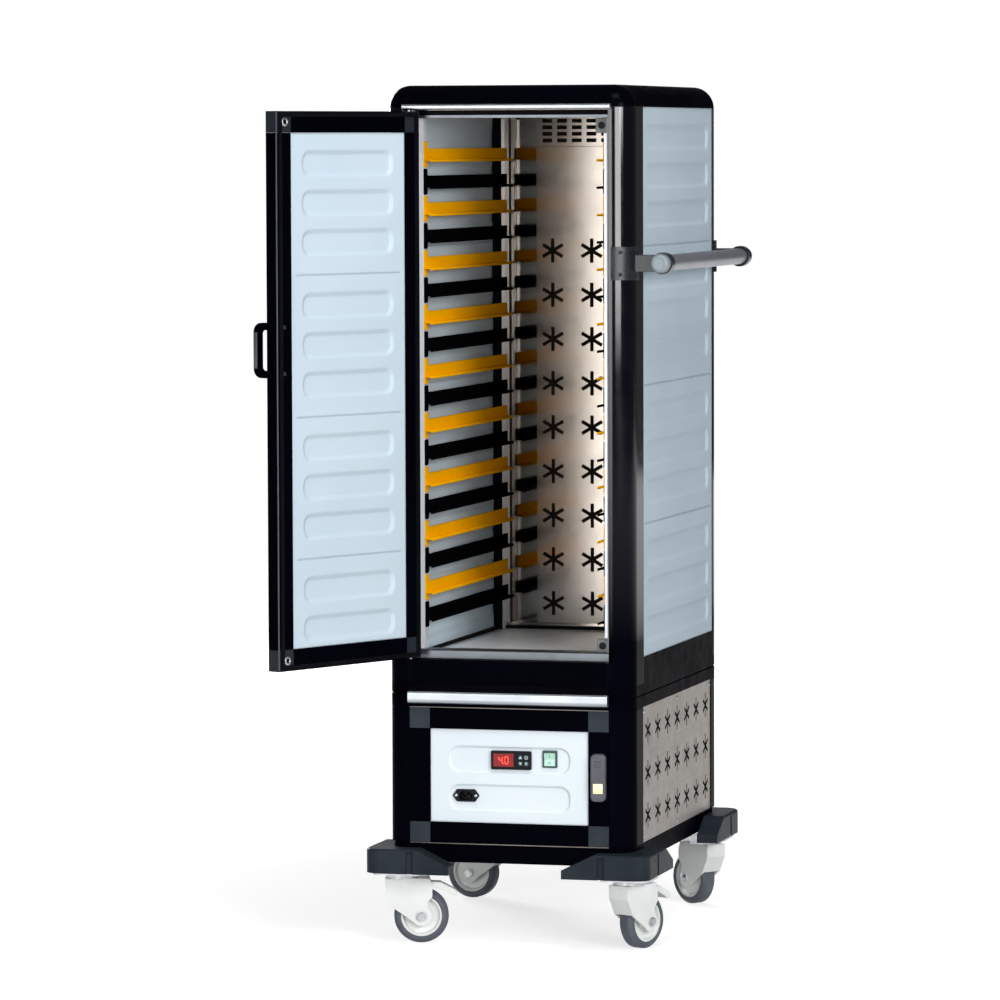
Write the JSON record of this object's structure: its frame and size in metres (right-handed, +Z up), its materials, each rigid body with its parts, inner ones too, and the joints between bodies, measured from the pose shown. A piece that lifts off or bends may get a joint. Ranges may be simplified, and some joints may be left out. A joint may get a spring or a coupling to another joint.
{
  "type": "refrigerated banquet cart",
  "caption": "Tall refrigerated banquet cart with a hinged door, a rack of tray rails, a cooling unit below, a side push bar and braked swivel casters.",
  "frame": {"origin": "on the floor under the middle of the cabinet body", "axes": "+X to the right seen from the door side, +Y to the back, +Z up"},
  "size_m": [0.679, 1.0821, 1.566],
  "materials": {
    "frame_black": "gloss",
    "zinc": "satin",
    "bumper": "matte",
    "aluminium": "satin",
    "panel": "satin",
    "stainless": "brushed",
    "rail_black": "satin",
    "rail_yellow": "satin",
    "connector": "satin",
    "device_black": "satin",
    "display": "gloss",
    "switch_green": "gloss",
    "rocker": "gloss",
    "lamp": "gloss",
    "bar_grey": "satin",
    "bar_cap": "satin",
    "gasket": "matte",
    "caster_white": "satin",
    "tyre": "matte",
    "key": "satin"
  },
  "bodies": {
    "cabinet": {"base_pan": "frame_black", "caster_mounts": "zinc", "corner_bumpers": "bumper", "corner_posts": "frame_black", "deck_frame": "frame_black", "threshold_beam": "frame_black", "opening_frame": "aluminium", "front_trims": "aluminium", "top_beams": "frame_black", "roof_panel": "frame_black", "side_walls": "panel", "back_wall": "panel", "cavity_liners": "stainless", "cavity_floor": "stainless", "rack_uprights": "aluminium", "rails_black": "rail_black", "rails_yellow": "rail_yellow", "air_duct": "stainless", "evaporator": "aluminium", "control_frame": "frame_black", "control_corners": "connector", "control_panel": "panel", "thermostat_housing": "device_black", "thermostat_window": "display", "switch_housing": "switch_green", "power_inlet": "device_black", "indicator_housing": "connector", "indicator_lens": "lamp", "machine_grilles": "stainless", "condensing_unit": "device_black", "push_bar": "bar_grey", "push_bar_caps": "bar_cap", "push_bar_brackets": "device_black", "hinge_pins": "zinc"},
    "door": {"door_frame": "frame_black", "door_corners": "connector", "door_panel": "panel", "door_gasket": "gasket", "door_handle": "device_black"},
    "swivel_front_left": {"caster_front_left_fork": "caster_white"},
    "wheel_front_left": {"caster_front_left_hub": "caster_white", "caster_front_left_tyre": "tyre"},
    "pedal_front_left": {"caster_front_left_pedal": "caster_white"},
    "swivel_front_right": {"caster_front_right_fork": "caster_white"},
    "wheel_front_right": {"caster_front_right_hub": "caster_white", "caster_front_right_tyre": "tyre"},
    "pedal_front_right": {"caster_front_right_pedal": "caster_white"},
    "swivel_rear_right": {"caster_rear_right_fork": "caster_white"},
    "wheel_rear_right": {"caster_rear_right_hub": "caster_white", "caster_rear_right_tyre": "tyre"},
    "swivel_rear_left": {"caster_rear_left_fork": "caster_white"},
    "wheel_rear_left": {"caster_rear_left_hub": "caster_white", "caster_rear_left_tyre": "tyre"},
    "rocker": {"switch_rocker": "rocker"},
    "key_up": {"key_up": "key"},
    "key_down": {"key_down": "key"},
    "key_set": {"key_set": "key"},
    "key_defrost": {"key_defrost": "key"},
    "evaporator_fan": {"evaporator_fan": "device_black"},
    "condenser_fan": {"condenser_fan": "device_black"}
  },
  "joints": [
    {"name": "door_hinge", "type": "hinge", "parent": "cabinet", "child": "door", "pos_m": [-0.185, -0.347, 1.024], "axis": [0, 0, -1], "range_deg": [-115.5, 2.5]},
    {"name": "swivel_front_left", "type": "hinge", "parent": "cabinet", "child": "swivel_front_left", "pos_m": [-0.214, -0.31, 0.1194], "axis": [0, 0, 1], "continuous": true},
    {"name": "roll_front_left", "type": "hinge", "parent": "swivel_front_left", "child": "wheel_front_left", "pos_m": [-0.18036, -0.30035, 0.05], "axis": [-0.2756, 0.9613, 0], "continuous": true},
    {"name": "brake_front_left", "type": "hinge", "parent": "swivel_front_left", "child": "pedal_front_left", "pos_m": [-0.16786, -0.29677, 0.1089], "axis": [-0.2756, 0.9613, 0], "range_deg": [0, 10]},
    {"name": "swivel_front_right", "type": "hinge", "parent": "cabinet", "child": "swivel_front_right", "pos_m": [0.214, -0.31, 0.1194], "axis": [0, 0, 1], "continuous": true},
    {"name": "roll_front_right", "type": "hinge", "parent": "swivel_front_right", "child": "wheel_front_right", "pos_m": [0.22934, -0.27854, 0.05], "axis": [-0.8988, 0.4384, 0], "continuous": true},
    {"name": "brake_front_right", "type": "hinge", "parent": "swivel_front_right", "child": "pedal_front_right", "pos_m": [0.23504, -0.26686, 0.1089], "axis": [-0.8988, 0.4384, 0], "range_deg": [0, 10]},
    {"name": "swivel_rear_right", "type": "hinge", "parent": "cabinet", "child": "swivel_rear_right", "pos_m": [0.214, 0.31, 0.1194], "axis": [0, 0, 1], "continuous": true},
    {"name": "roll_rear_right", "type": "hinge", "parent": "swivel_rear_right", "child": "wheel_rear_right", "pos_m": [0.18605, 0.33106, 0.05], "axis": [-0.6018, -0.7986, 0], "continuous": true},
    {"name": "swivel_rear_left", "type": "hinge", "parent": "cabinet", "child": "swivel_rear_left", "pos_m": [-0.214, 0.31, 0.1194], "axis": [0, 0, 1], "continuous": true},
    {"name": "roll_rear_left", "type": "hinge", "parent": "swivel_rear_left", "child": "wheel_rear_left", "pos_m": [-0.24866, 0.31487, 0.05], "axis": [-0.1392, -0.9903, 0], "continuous": true},
    {"name": "power_rocker", "type": "hinge", "parent": "cabinet", "child": "rocker", "pos_m": [0.0757, -0.344, 0.3478], "axis": [1, 0, 0], "range_deg": [-12, 0]},
    {"name": "press_key_up", "type": "slide", "parent": "cabinet", "child": "key_up", "axis": [0, 1, 0], "range_m": [0, 0.0008], "stiffness_N_per_m": 500, "springref_m": -0.0004},
    {"name": "press_key_down", "type": "slide", "parent": "cabinet", "child": "key_down", "axis": [0, 1, 0], "range_m": [0, 0.0008], "stiffness_N_per_m": 500, "springref_m": -0.0004},
    {"name": "press_key_set", "type": "slide", "parent": "cabinet", "child": "key_set", "axis": [0, 1, 0], "range_m": [0, 0.0008], "stiffness_N_per_m": 500, "springref_m": -0.0004},
    {"name": "press_key_defrost", "type": "slide", "parent": "cabinet", "child": "key_defrost", "axis": [0, 1, 0], "range_m": [0, 0.0008], "stiffness_N_per_m": 500, "springref_m": -0.0004},
    {"name": "evaporator_fan_spin", "type": "hinge", "parent": "cabinet", "child": "evaporator_fan", "pos_m": [0, 0.2985, 1.447], "axis": [0, 1, 0], "continuous": true},
    {"name": "condenser_fan_spin", "type": "hinge", "parent": "cabinet", "child": "condenser_fan", "pos_m": [0.13, -0.06, 0.268], "axis": [1, 0, 0], "continuous": true}
  ]
}
